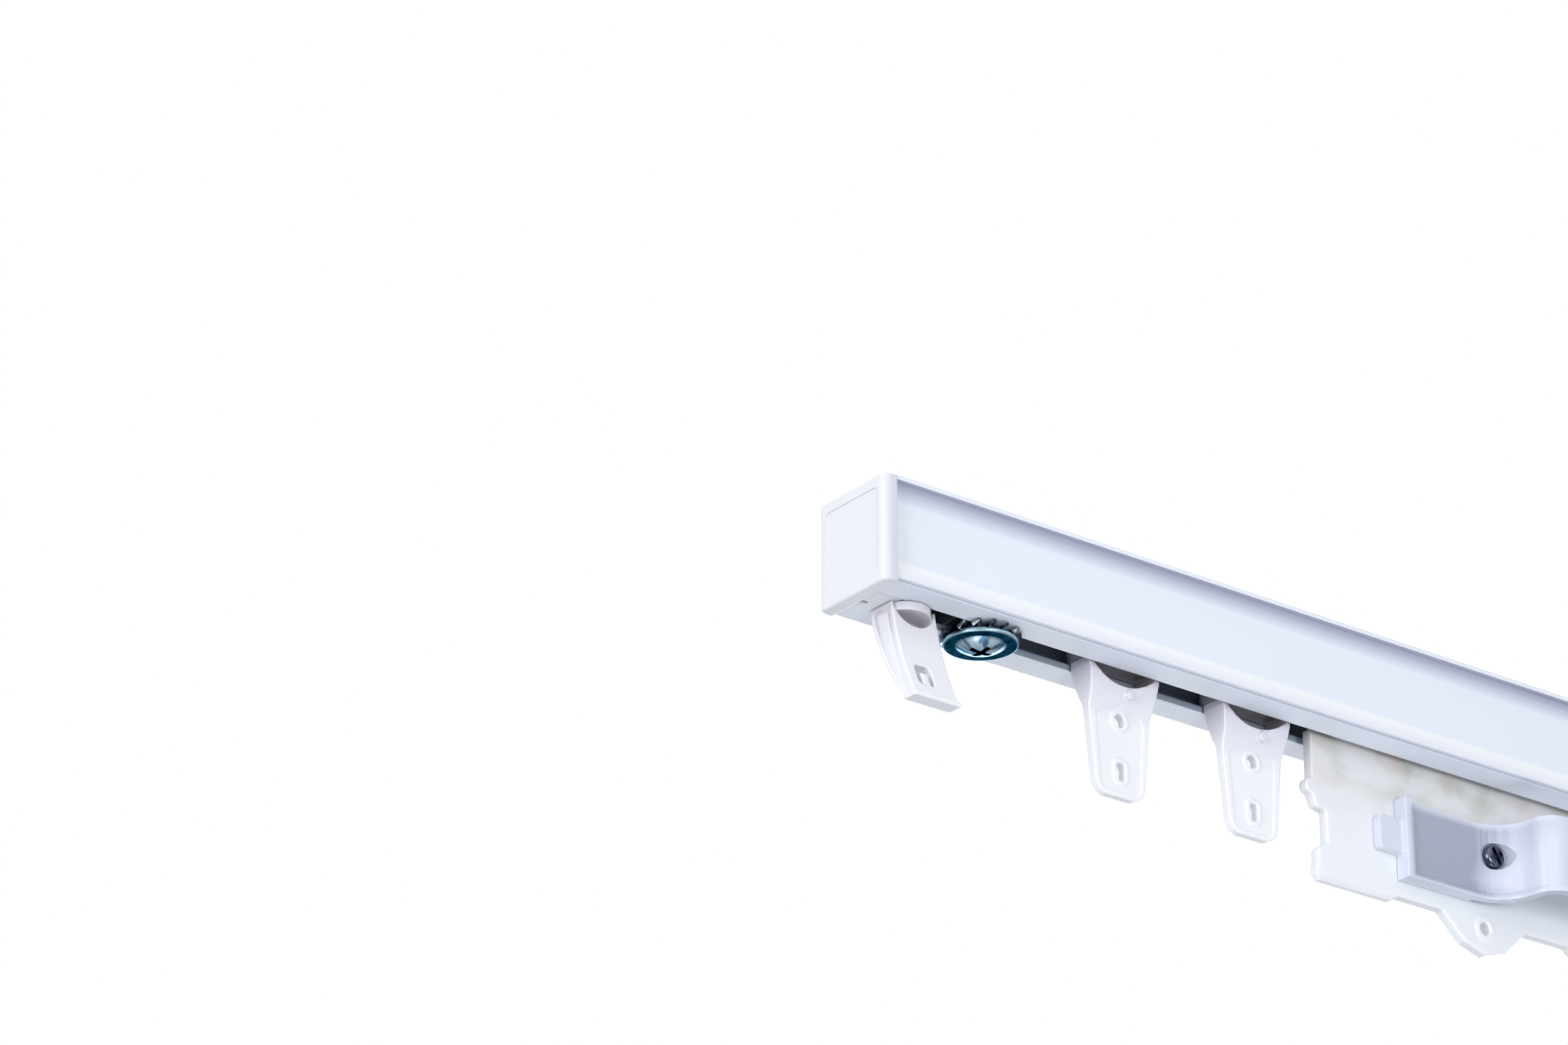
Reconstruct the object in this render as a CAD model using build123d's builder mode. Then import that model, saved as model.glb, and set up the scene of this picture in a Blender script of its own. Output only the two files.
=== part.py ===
from build123d import *
from math import cos, radians, sin
import os

# Ceiling curtain track with its end caps, end hook, stop screws, gliders and master carrier.
# The origin is the middle of the rail's ceiling face. X runs along the rail, -Y faces the
# room, and everything hangs below Z = 0. Millimetres.

# Rail extrusion
rail_length = 280.0
rail_width = 18.7
rail_height = 20.0
top_wall = 1.6
side_wall = 0.9
lip_thickness = 1.4
slot_width = 6.4
flange_edge = 0.8
side_recess = 1.3
foot_height = 4.4
foot_edge = 0.5
foot_round = 0.15
drip_step = 0.6
drip_height = 0.6
ceiling_hole_radius = 2.25
ceiling_hole_spacing = 200.0

# End caps
cap_thickness = 2.7
cap_side_proud = 0.2
cap_foot_proud = 0.3
cap_corner_round = 1.6
cap_edge_round = 0.5
cap_panel_border = 2.2
cap_panel_depth = 0.2
cap_panel_round = 1.0
plug_length = 5.6
plug_wall = 1.4
plug_clearance = 0.1
slot_tongue_length = 5.8
drain_hole_radius = 0.8
drain_hole_setback = 1.1
drain_hole_offset = 1.65

# End hook
hook_inset = 9.1
hook_width = 9.6
hook_top_gap = 0.15
hook_front_y = -2.3
hook_back_y = 3.9
hook_mid_drop = 9.6
hook_front_mid_y = -4.6
hook_back_mid_y = 0.6
hook_drop = 19.0
hook_front_tip_y = -8.4
hook_back_tip_y = -5.6
hook_toe_thickness = 0.9
hook_toe_reach = 0.5
hook_toe_overhang = 0.3
hook_scoop_radius = 4.5
hook_scoop_rise = 0.4
hook_scoop_depth = 3.4
hook_eye_width = 3.6
hook_eye_height = 4.2
hook_eye_rise = 2.2
hook_eye_shift = -1.0
hook_eye_tongue_width = 1.5
hook_eye_tongue_height = 2.6
hook_rib = 0.8
hook_rib_depth = 0.5
twist_neck_clearance = 0.2
twist_shoulder_radius = 4.5
twist_shoulder_height = 1.6
twist_head_length = 12.4
twist_head_width = 5.8
twist_head_height = 2.4

# Stop screws, with their toothed washers and nut plates
stop_inset = 26.0
screw_radius = 2.0
screw_fit = 0.03
screw_tip_above_nut = 1.2
flange_radius = 6.75
flange_thickness = 0.8
dome_radius = 4.5
dome_height = 1.3
dome_shoulder_reach = 0.62
dome_shoulder_drop = 0.72
cross_arm = 4.4
cross_width = 1.0
cross_depth = 1.0
washer_bore_radius = 2.3
washer_ring_radius = 5.4
washer_tooth_radius = 7.25
washer_thickness = 0.55
washer_teeth = 16
tooth_width = 1.7
tooth_twist = 36.0
nut_side = 12.0
nut_thickness = 3.0
nut_corner = 1.2

# Gliders
glider_inset = 57.0
glider_pitch = 31.5
glider_drop = 23.6
glider_shoulder_width = 16.2
glider_waist_width = 14.8
glider_waist_drop = 4.5
glider_foot_width = 11.0
glider_foot_round = 3.0
glider_neck_depth = 5.6
glider_plate_depth = 1.5
glider_taper_top = 0.6
glider_taper_drop = 7.2
glider_taper_hollow = 0.3
glider_rim_width = 0.9
glider_rim_height = 0.15
scoop_half_chord = 6.9
scoop_drop = 2.7
scoop_back_wall = 1.5
scoop_sill = 0.2
glider_pip_radius = 0.9
glider_eye_radius = 1.25
upper_eye_drop = 8.9
lower_eye_drop = 18.7
lower_eye_width = 1.9
lower_eye_height = 3.4
eye_collar_width = 0.8
eye_collar_height = 0.25
glider_head_length = 15.0
glider_head_width = 11.6
glider_head_height = 3.4
glider_head_round = 2.0
running_gap = 0.1

# Master carrier
carrier_gap = 6.4
carrier_length = 84.0
carrier_drop = 27.8
middle_rise = 1.0
heel_length = 19.0
plate_depth = 2.2
bumper_radius = 1.5
bumper_drop = 9.8
shoulder_step = 0.8
notch_top_drop = 14.1
notch_bottom_drop = 20.2
notch_depth = 3.2
notch_slope = 1.7
heel_step = 0.6
heel_height = 3.4
heel_bevel = 0.9
tab_half_top = 10.6
tab_half_bottom = 5.2
tab_drop = 6.6
tab_chamfer_drop = 5.0
tab_eye_radius = 1.25
tab_eye_drop = 1.4
tab_collar_radius = 2.3
beam_setback = 4.0
beam_depth = 4.6
beam_height = 8.6
beam_end_round = 3.0
axle_setback = 12.0

# Rollers and axles
roller_radius = 4.5
roller_width = 2.4
roller_lift = 0.5
roller_groove = 0.35
roller_edge = 0.4
roller_side_gap = 0.15
roller_setback = 0.5
axle_radius = 1.0
axle_fit = 0.04
axle_head_radius = 1.7
axle_head_thickness = 0.4

# Overlap arm with its screw and nut
arm_height = 15.2
arm_top_drop = 8.6
arm_base_left = 21.8
arm_base_depth = 1.1
arm_strip = 1.6
arm_rim_height = 0.5
arm_rim_width = 1.2
arm_post_rise = 1.0
arm_post_width = 2.2
arm_flat_end = 4.0
arm_bend_radius = 9.0
arm_return_radius = 3.2
arm_reach = 38.0
arm_tip_round = 4.0
ear_length = 4.6
ear_height = 6.6
ear_depth = 2.0
ear_round = 1.0
ear_drop = 12.3
arm_screw_drop = 15.0
arm_screw_radius = 1.25
arm_screw_head_radius = 2.3
arm_screw_head_height = 1.5
arm_screw_seat_radius = 2.6
arm_screw_boss_radius = 3.8
arm_screw_slot = 0.9
arm_screw_turn = 30.0
arm_nut_side = 5.5
arm_nut_thickness = 2.0
arm_screw_tip = 0.8

# Places that follow from the sizes above
left_end = -rail_length / 2
right_end = rail_length / 2
underside = -rail_height
lip_top = underside + lip_thickness
channel_half = rail_width / 2 - side_recess - side_wall
channel_top = -top_wall
glider_places = [left_end + glider_inset, left_end + glider_inset + glider_pitch]
carrier_x = glider_places[-1] + glider_shoulder_width / 2 + carrier_gap + carrier_length / 2
axle_z = lip_top + roller_lift + roller_radius
axle_offset = carrier_length / 2 - axle_setback
roller_inner = slot_width / 2 + roller_setback


def finish(part, name):
    """Labels a finished piece and writes its STEP file."""
    part.label = name
    os.makedirs("parts", exist_ok=True)
    export_step(part, f"parts/{name}.step")


def front_plane(x, y=0.0):
    """A plane that faces the room (-Y) at x, with its own Y along world Z."""
    return Plane(origin=(x, y, 0), x_dir=(1, 0, 0), z_dir=(0, -1, 0))


def side_plane(x):
    """A plane across the rail at x, with its own X along world Y and its own Y along world Z."""
    return Plane(origin=(x, 0, 0), x_dir=(0, 1, 0), z_dir=(1, 0, 0))


def level_plane(x, z):
    """A level plane at height z, centred over x."""
    return Plane(origin=(x, 0, z))


# Rail
def make_rail():
    half = rail_width / 2
    wall_face = half - side_recess
    drip_top = underside + drip_height
    with BuildPart() as rail:
        with BuildSketch(side_plane(left_end)):
            with BuildLine():
                # Flange, recessed side wall, foot that widens out again, and drip step
                Polyline(
                    (0, 0),
                    (half, 0),
                    (half, -flange_edge),
                    (wall_face, -flange_edge),
                    (wall_face, underside + foot_height),
                    (half, drip_top + foot_edge),
                    (half, drip_top),
                    (half - drip_step, drip_top),
                    (half - drip_step, underside),
                    (slot_width / 2, underside),
                    (slot_width / 2, lip_top),
                    (channel_half, lip_top),
                    (channel_half, channel_top),
                    (0, channel_top),
                )
                mirror(about=Plane.YZ)
            make_face()
        extrude(amount=rail_length)
        foot_edges = rail.edges().filter_by(Axis.X).sort_by(Axis.Y)
        foot_corners = foot_edges.filter_by_position(Axis.Z, drip_top - foot_round, drip_top + 2 * foot_edge)
        fillet([foot_corners[0], foot_corners[1], foot_corners[-1], foot_corners[-2]], foot_round)
        with BuildSketch(Plane.XY):
            with GridLocations(ceiling_hole_spacing, 0, 2, 1):
                Circle(ceiling_hole_radius)
        extrude(amount=-top_wall, mode=Mode.SUBTRACT)
    finish(rail.part, "rail")


# End caps
def make_end_cap(name, x, outward):
    """A cap at x whose end face looks along outward, 1 for +X and -1 for -X."""
    width = rail_width + 2 * cap_side_proud
    height = rail_height + cap_foot_proud
    plug_width = 2 * (channel_half - plug_clearance)
    plug_top = channel_top - plug_clearance
    plug_foot = lip_top + plug_clearance
    end_plane = Plane(origin=(x, 0, 0), x_dir=(0, outward, 0), z_dir=(outward, 0, 0))
    with BuildPart() as cap:
        with BuildSketch(end_plane):
            with Locations((0, -height / 2)):
                Rectangle(width, height)
        extrude(amount=cap_thickness)
        end_face = cap.faces().sort_by(Axis.X)[-1 if outward > 0 else 0]
        fillet(end_face.edges().filter_by(Axis.Z), cap_corner_round)
        end_face = cap.faces().sort_by(Axis.X)[-1 if outward > 0 else 0]
        fillet(end_face.edges().filter_by(Axis.Y), cap_edge_round)
        with BuildSketch(end_plane.offset(cap_thickness - cap_panel_depth)):
            with Locations((0, -height / 2)):
                RectangleRounded(width - 2 * cap_panel_border, height - 2 * cap_panel_border, cap_panel_round)
        extrude(amount=cap_panel_depth, mode=Mode.SUBTRACT)
        with BuildSketch(end_plane):
            with Locations((0, (plug_top + plug_foot) / 2)):
                plug = Rectangle(plug_width, plug_top - plug_foot)
                offset(plug, amount=-plug_wall, kind=Kind.INTERSECTION, mode=Mode.SUBTRACT)
        extrude(amount=-plug_length)
        with BuildSketch(end_plane):
            with Locations((0, (plug_foot + underside) / 2)):
                Rectangle(slot_width - 2 * plug_clearance, plug_foot - underside)
        extrude(amount=-slot_tongue_length)
        with BuildSketch(level_plane(x - outward * drain_hole_setback, underside)):
            with Locations((0, drain_hole_offset)):
                Circle(drain_hole_radius)
        extrude(amount=plug_foot - underside, mode=Mode.SUBTRACT)
    finish(cap.part, name)


# End hook
def make_end_hook():
    x = left_end + hook_inset
    top = underside - hook_top_gap
    middle = top - hook_mid_drop
    tip = top - hook_drop
    eye_z = tip + hook_eye_rise + hook_eye_height / 2
    neck_radius = slot_width / 2 - twist_neck_clearance
    head_foot = lip_top + running_gap
    with BuildSketch() as side:
        with BuildLine():
            front = ThreePointArc((hook_front_y, top), (hook_front_mid_y, middle), (hook_front_tip_y, tip))
            back = ThreePointArc((hook_back_tip_y, tip), (hook_back_mid_y, middle), (hook_back_y, top))
            Line(front @ 1, back @ 0)
            Line(back @ 1, front @ 0)
        make_face()
    with BuildPart() as hook:
        with BuildSketch(side_plane(x - hook_width / 2)):
            add(side.sketch)
        extrude(amount=hook_width)
        # A groove round each side leaves a rib along the edges
        for groove_x in (x - hook_width / 2, x + hook_width / 2 - hook_rib_depth):
            with BuildSketch(side_plane(groove_x)):
                add(side.sketch)
                offset(amount=-hook_rib, mode=Mode.REPLACE)
                offset(amount=-hook_rib, mode=Mode.SUBTRACT)
            extrude(amount=hook_rib_depth, mode=Mode.SUBTRACT)
        # Toe along the tip
        with BuildSketch(level_plane(x, tip)):
            with Locations((0, (hook_front_tip_y - hook_toe_reach + hook_back_tip_y) / 2)):
                RectangleRounded(
                    hook_width + 2 * hook_toe_overhang,
                    hook_back_tip_y - hook_front_tip_y + hook_toe_reach,
                    hook_toe_overhang,
                )
        extrude(amount=-hook_toe_thickness)
        # Scoop in the front of the neck
        with BuildSketch(front_plane(x, hook_front_y + hook_scoop_depth)):
            with Locations((0, top + hook_scoop_rise)):
                Circle(hook_scoop_radius)
        extrude(amount=2 * hook_scoop_radius, mode=Mode.SUBTRACT)
        # Eye for the curtain's end hook, with a tongue in it
        with BuildSketch(front_plane(x)):
            with Locations((hook_eye_shift, eye_z)):
                RectangleRounded(hook_eye_width, hook_eye_height, hook_eye_width / 4)
            with Locations((hook_eye_shift, eye_z - hook_eye_height / 2)):
                Rectangle(
                    hook_eye_tongue_width, 2 * hook_eye_tongue_height, mode=Mode.SUBTRACT
                )
        extrude(amount=2 * hook_scoop_radius, both=True, mode=Mode.SUBTRACT)
        # Round shoulder, neck and cross-turned head
        with BuildSketch(level_plane(x, top)):
            Circle(twist_shoulder_radius)
        extrude(amount=-twist_shoulder_height)
        with BuildSketch(level_plane(x, top)):
            Circle(neck_radius)
        extrude(amount=head_foot - top)
        with BuildSketch(level_plane(x, head_foot)):
            SlotOverall(twist_head_length, twist_head_width, rotation=90)
        extrude(amount=twist_head_height)
    finish(hook.part, "end_hook")


# Stop screws, washers and nuts
def make_stop(side, x):
    washer_height = tooth_width * sin(radians(tooth_twist)) + washer_thickness * cos(radians(tooth_twist))
    washer_middle = underside - washer_height / 2
    flange_top = underside - washer_height
    flange_foot = flange_top - flange_thickness
    nut_foot = lip_top
    shank_tip = nut_foot + nut_thickness + screw_tip_above_nut
    cross_floor = flange_foot - dome_height + cross_depth

    with BuildPart() as screw:
        with BuildSketch(Plane.XZ):
            with BuildLine():
                head = Polyline(
                    (0, shank_tip),
                    (screw_radius, shank_tip),
                    (screw_radius, flange_top),
                    (flange_radius, flange_top),
                    (flange_radius, flange_foot),
                    (dome_radius, flange_foot),
                )
                dome = ThreePointArc(
                    head @ 1,
                    (dome_radius * dome_shoulder_reach, flange_foot - dome_height * dome_shoulder_drop),
                    (0, flange_foot - dome_height),
                )
                Line(dome @ 1, head @ 0)
            make_face()
        revolve(axis=Axis.Z)
        flange_rim = screw.edges().filter_by(GeomType.CIRCLE).group_by(SortBy.RADIUS)[-1]
        fillet(flange_rim, flange_thickness / 3)
        with BuildSketch(Plane.XY.offset(cross_floor)):
            Rectangle(cross_arm, cross_width)
            Rectangle(cross_width, cross_arm)
        extrude(amount=-2 * cross_depth, mode=Mode.SUBTRACT)
    finish(screw.part.moved(Location((x, 0, 0))), f"{side}_stop_screw")

    with BuildPart() as washer:
        with BuildSketch(level_plane(x, washer_middle - washer_thickness / 2)):
            Circle(washer_ring_radius)
            Circle(washer_bore_radius, mode=Mode.SUBTRACT)
        extrude(amount=washer_thickness)
        tooth_length = washer_tooth_radius - washer_ring_radius + washer_thickness
        with Locations(Location((x, 0, washer_middle))):
            with PolarLocations(washer_tooth_radius - tooth_length / 2, washer_teeth):
                Box(tooth_length, tooth_width, washer_thickness, rotation=(tooth_twist, 0, 0))
    finish(washer.part, f"{side}_stop_washer")

    with BuildPart() as nut:
        with BuildSketch(level_plane(x, nut_foot)):
            Rectangle(nut_side, nut_side)
            Circle(screw_radius + screw_fit, mode=Mode.SUBTRACT)
        extrude(amount=nut_thickness)
        chamfer(nut.edges().filter_by(Axis.Z), nut_corner)
    finish(nut.part, f"{side}_stop_nut")


# Gliders
def make_glider(name, x):
    half_neck = glider_neck_depth / 2
    half_plate = glider_plate_depth / 2
    half_rim = half_plate + glider_rim_height
    foot = underside - glider_drop
    waist = underside - glider_waist_drop
    taper_top = underside - glider_taper_top
    panel_top = underside - glider_taper_drop
    head_foot = lip_top + running_gap
    scoop_radius = (scoop_half_chord**2 + scoop_drop**2) / (2 * scoop_drop)
    with BuildPart() as glider:
        with BuildSketch(front_plane(x)):
            with BuildLine():
                right_side = Polyline(
                    (0, head_foot),
                    (glider_shoulder_width / 2, head_foot),
                    (glider_shoulder_width / 2, underside),
                    (glider_waist_width / 2, waist),
                    (glider_foot_width / 2, foot),
                    (0, foot),
                )
                mirror(about=Plane.YZ)
            outline = make_face()
            fillet(outline.vertices().group_by(Axis.Y)[0], glider_foot_round)
        extrude(amount=half_neck, both=True)
        # Side profile: as deep as the slot at the neck, easing down to the rims' depth
        with BuildSketch(side_plane(x)):
            with BuildLine():
                neck = Polyline((0, head_foot), (half_neck, head_foot), (half_neck, taper_top))
                ease = SagittaArc(neck @ 1, (half_rim, panel_top), glider_taper_hollow)
                Polyline(ease @ 1, (half_rim, foot), (0, foot))
                mirror(about=Plane.YZ)
            make_face()
        extrude(amount=glider_shoulder_width / 2, both=True, mode=Mode.INTERSECT)
        # The plate lies between raised rims, on both faces
        for face_y, away in ((-half_plate, 1), (half_plate, -1)):
            with BuildSketch(front_plane(x, face_y)):
                with BuildLine():
                    Polyline(
                        (0, panel_top),
                        (glider_waist_width / 2 - 2 * glider_rim_width, panel_top),
                        (glider_foot_width / 2 - glider_rim_width, foot + glider_rim_width),
                        (0, foot + glider_rim_width),
                    )
                    mirror(about=Plane.YZ)
                panel = make_face()
                fillet(panel.vertices(), glider_foot_round / 2)
            extrude(amount=away * half_neck, mode=Mode.SUBTRACT)
        # Scoop in the front of the neck, with a back wall left up to the slot
        with BuildSketch(front_plane(x, half_neck - scoop_back_wall)):
            with Locations((0, underside - scoop_drop + scoop_radius)):
                Circle(scoop_radius)
            with Locations((0, underside - scoop_drop)):
                Rectangle(
                    2 * scoop_half_chord,
                    head_foot - underside + scoop_drop,
                    align=(Align.CENTER, Align.MIN),
                    mode=Mode.INTERSECT,
                )
        extrude(amount=glider_neck_depth, mode=Mode.SUBTRACT)
        with BuildSketch(front_plane(x)):
            with Locations((0, (head_foot + underside - scoop_sill) / 2)):
                Rectangle(2 * scoop_half_chord, head_foot - underside + scoop_sill)
        extrude(amount=half_neck, both=True, mode=Mode.SUBTRACT)
        # Pip under the scoop
        with BuildSketch(front_plane(x + 1.5 * glider_pip_radius, -half_plate)):
            with Locations((0, underside - scoop_drop - 1.5 * glider_pip_radius)):
                Circle(glider_pip_radius)
        extrude(amount=half_neck - half_plate)
        # Round eye above and tall eye below, each with its collar
        for collar, depth, mode in (
            (eye_collar_width, half_plate + eye_collar_height, Mode.ADD),
            (0, glider_neck_depth, Mode.SUBTRACT),
        ):
            with BuildSketch(front_plane(x)):
                with Locations((0, underside - upper_eye_drop)):
                    Circle(glider_eye_radius + collar)
                with Locations((0, underside - lower_eye_drop)):
                    eye_width = lower_eye_width + 2 * collar
                    RectangleRounded(eye_width, lower_eye_height + 2 * collar, lower_eye_width / 3 + collar)
            extrude(amount=depth, both=True, mode=mode)
        # Head that slides on the lips
        with BuildSketch(level_plane(x, head_foot)):
            RectangleRounded(glider_head_length, glider_head_width, glider_head_round)
        extrude(amount=glider_head_height)
        crown = glider.faces().sort_by(Axis.Z)[-1]
        fillet(crown.edges(), glider_rim_width)
    finish(glider.part, name)


# Master carrier
def make_carrier_plate():
    half = carrier_length / 2
    foot = underside - carrier_drop
    middle_foot = foot + middle_rise
    tab_eye_z = middle_foot - tab_eye_drop
    beam_foot = lip_top + running_gap
    beam_top = beam_foot + beam_height
    notch_x = half - notch_depth
    with BuildPart() as plate:
        with BuildSketch(front_plane(carrier_x)):
            with BuildLine():
                Polyline(
                    (0, beam_foot),
                    (half, beam_foot),
                    (half, underside - bumper_drop - bumper_radius),
                    (half - shoulder_step, underside - notch_top_drop + notch_slope / 4),
                    (notch_x, underside - notch_top_drop),
                    (notch_x, underside - notch_bottom_drop),
                    (half - shoulder_step, underside - notch_bottom_drop - notch_slope),
                    (half - shoulder_step, foot + heel_height),
                    (half - shoulder_step + heel_step, foot + heel_height / 3),
                    (half - shoulder_step - heel_step, foot),
                    (half - heel_length, foot),
                    (half - heel_length - middle_rise, middle_foot),
                    (tab_half_top, middle_foot),
                    (tab_half_bottom, middle_foot - tab_chamfer_drop),
                    (0, middle_foot - tab_drop),
                )
                mirror(about=Plane.YZ)
            make_face()
            with Locations((-half, underside - bumper_drop), (half, underside - bumper_drop)):
                Circle(bumper_radius)
        extrude(amount=plate_depth / 2, both=True)
        # Bevel along the foot of each heel, on the room side
        front_edges = plate.edges().filter_by(Axis.X).filter_by_position(Axis.Y, -plate_depth, 0)
        heel_feet = front_edges.filter_by_position(Axis.Z, foot - heel_bevel / 2, foot + heel_bevel / 2)
        chamfer(heel_feet, heel_bevel)
        # Collar and eye in the tab
        with BuildSketch(front_plane(carrier_x)):
            with Locations((0, tab_eye_z)):
                Circle(tab_collar_radius)
        extrude(amount=plate_depth / 2 + eye_collar_height, both=True)
        with BuildSketch(front_plane(carrier_x)):
            with Locations((0, tab_eye_z)):
                Circle(tab_eye_radius)
            with Locations((0, underside - arm_screw_drop)):
                Circle(arm_screw_radius + screw_fit)
        extrude(amount=plate_depth, both=True, mode=Mode.SUBTRACT)
        # Truck beam in the channel, with spacer bosses and axle bores
        with BuildSketch(front_plane(carrier_x)):
            with Locations((0, (beam_foot + beam_top) / 2)):
                RectangleRounded(carrier_length - 2 * beam_setback, beam_height, beam_end_round)
        extrude(amount=beam_depth / 2, both=True)
        with BuildSketch(front_plane(carrier_x)):
            with Locations((-axle_offset, axle_z), (axle_offset, axle_z)):
                Circle(axle_head_radius)
        extrude(amount=roller_inner, both=True)
        with BuildSketch(front_plane(carrier_x)):
            with Locations((-axle_offset, axle_z), (axle_offset, axle_z)):
                Circle(axle_radius + screw_fit)
        extrude(amount=slot_width, both=True, mode=Mode.SUBTRACT)
    finish(plate.part, "carrier_plate")


def make_axle(name, x):
    head_in = roller_inner + 2 * roller_side_gap + roller_width
    with BuildPart() as axle:
        with BuildSketch(front_plane(x)):
            with Locations((0, axle_z)):
                Circle(axle_radius)
        extrude(amount=head_in + axle_head_thickness, both=True)
        for side in (-1, 1):
            with BuildSketch(front_plane(x, side * head_in)):
                with Locations((0, axle_z)):
                    Circle(axle_head_radius)
            extrude(amount=-side * axle_head_thickness)
    finish(axle.part, name)


def make_roller(name, x, side):
    """A grooved roller on one side of the truck beam, side 1 for +Y and -1 for -Y."""
    inner = roller_inner + roller_side_gap
    outer = inner + roller_width
    middle = (inner + outer) / 2
    groove_radius = roller_radius - roller_groove
    bore = axle_radius + axle_fit
    with BuildPart() as roller:
        with BuildSketch(Plane(origin=(x, 0, axle_z), x_dir=(0, side, 0), z_dir=(1, 0, 0))):
            with BuildLine():
                Polyline(
                    (inner, bore),
                    (outer, bore),
                    (outer, roller_radius - roller_edge),
                    (outer - roller_edge, roller_radius),
                    (middle + roller_groove, roller_radius),
                    (middle, groove_radius),
                    (middle - roller_groove, roller_radius),
                    (inner + roller_edge, roller_radius),
                    (inner, roller_radius - roller_edge),
                    close=True,
                )
            make_face()
        revolve(axis=Axis((x, 0, axle_z), (0, 1, 0)))
    finish(roller.part, name)


# Overlap arm
def make_overlap_arm():
    plate_face = -plate_depth / 2
    strip_back = plate_face - arm_base_depth
    strip_front = strip_back - arm_strip
    top = underside - arm_top_drop
    foot = top - arm_height
    left = carrier_x - arm_base_left
    bend_x = carrier_x - arm_flat_end
    crank_y = strip_back - arm_bend_radius
    outer_y = crank_y - arm_return_radius
    screw_z = underside - arm_screw_drop
    with BuildPart() as arm:
        # Cranked strip, and the ledge along its foot, seen from above
        for thickness, height in ((arm_strip, arm_height), (arm_strip + arm_rim_height, arm_rim_width)):
            with BuildSketch(Plane.XY.offset(foot)):
                with BuildLine():
                    flat = Line((left, strip_back), (bend_x, strip_back))
                    bend = RadiusArc(flat @ 1, (bend_x + arm_bend_radius, crank_y), arm_bend_radius)
                    back = RadiusArc(
                        bend @ 1, (bend_x + arm_bend_radius + arm_return_radius, outer_y), -arm_return_radius
                    )
                    Line(back @ 1, (carrier_x + arm_reach, outer_y))
                    offset(amount=thickness, side=Side.RIGHT)
                make_face()
            extrude(amount=height)
        with BuildSketch(front_plane(0, strip_back)):
            with Locations((left, (top + foot) / 2)):
                outline = Rectangle(carrier_x + arm_reach - left, arm_height, align=(Align.MIN, Align.CENTER))
            fillet(outline.vertices().group_by(Axis.X)[-1], arm_tip_round)
        extrude(amount=2 * (arm_bend_radius + arm_return_radius), mode=Mode.INTERSECT)
        # Pad between the strip and the carrier's plate
        with BuildSketch(front_plane(0, plate_face)):
            with Locations(((left + bend_x) / 2, (top + foot) / 2)):
                Rectangle(bend_x - left, arm_height)
            with Locations((carrier_x, screw_z)):
                Circle(arm_screw_boss_radius)
        extrude(amount=arm_base_depth)
        # Post up the left side
        with BuildSketch(front_plane(0, plate_face)):
            with Locations((left + arm_post_width / 2, (top + arm_post_rise + foot) / 2)):
                RectangleRounded(arm_post_width, arm_height + arm_post_rise, arm_post_width / 3)
        extrude(amount=arm_base_depth + arm_strip + arm_rim_height)
        # Ear that reaches towards the carrier's end
        with BuildSketch(front_plane(0, plate_face)):
            with Locations((left - ear_length / 2, underside - ear_drop - ear_height / 2)):
                RectangleRounded(ear_length + 2 * ear_round, ear_height, ear_round)
        extrude(amount=ear_depth)
        # Seat and hole for the screw
        with BuildSketch(front_plane(carrier_x, strip_front)):
            with Locations((0, screw_z)):
                Circle(arm_screw_boss_radius)
        extrude(amount=-arm_strip)
        with BuildSketch(front_plane(carrier_x, strip_front)):
            with Locations((0, screw_z)):
                Circle(arm_screw_seat_radius)
        extrude(amount=arm_bend_radius, mode=Mode.SUBTRACT)
        with BuildSketch(front_plane(carrier_x, plate_face)):
            with Locations((0, screw_z)):
                Circle(arm_screw_radius + screw_fit)
        extrude(amount=arm_bend_radius, mode=Mode.SUBTRACT)
    finish(arm.part, "overlap_arm")


def make_arm_screw():
    head_foot = -plate_depth / 2 - arm_base_depth - arm_strip
    nut_back = plate_depth / 2 + arm_nut_thickness
    screw_z = underside - arm_screw_drop
    with BuildPart() as screw:
        with BuildSketch(front_plane(carrier_x, head_foot)):
            with Locations((0, screw_z)):
                Circle(arm_screw_head_radius)
        extrude(amount=arm_screw_head_height)
        crown = screw.faces().sort_by(Axis.Y)[0]
        fillet(crown.edges(), arm_screw_head_height / 2)
        with BuildSketch(front_plane(carrier_x, head_foot - arm_screw_head_height)):
            with Locations((0, screw_z)):
                Rectangle(1.5 * arm_screw_head_radius, arm_screw_slot, rotation=arm_screw_turn)
                Rectangle(arm_screw_slot, 1.5 * arm_screw_head_radius, rotation=arm_screw_turn)
        extrude(amount=-arm_screw_slot, mode=Mode.SUBTRACT)
        with BuildSketch(front_plane(carrier_x, head_foot)):
            with Locations((0, screw_z)):
                Circle(arm_screw_radius)
        extrude(amount=-(nut_back + arm_screw_tip - head_foot))
    finish(screw.part, "arm_screw")

    with BuildPart() as nut:
        with BuildSketch(front_plane(carrier_x, plate_depth / 2)):
            with Locations((0, screw_z)):
                Rectangle(arm_nut_side, arm_nut_side)
                Circle(arm_screw_radius + screw_fit, mode=Mode.SUBTRACT)
        extrude(amount=-arm_nut_thickness)
    finish(nut.part, "arm_nut")


make_rail()
make_end_cap("left_end_cap", left_end, -1)
make_end_cap("right_end_cap", right_end, 1)
make_end_hook()
make_stop("left", left_end + stop_inset)
make_stop("right", right_end - stop_inset)
for number, place in enumerate(glider_places, start=1):
    make_glider(f"glider_{number}", place)
make_carrier_plate()
for end, shift in (("lead", axle_offset), ("tail", -axle_offset)):
    make_axle(f"{end}_axle", carrier_x + shift)
    make_roller(f"{end}_roller_near", carrier_x + shift, -1)
    make_roller(f"{end}_roller_far", carrier_x + shift, 1)
make_overlap_arm()
make_arm_screw()
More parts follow.
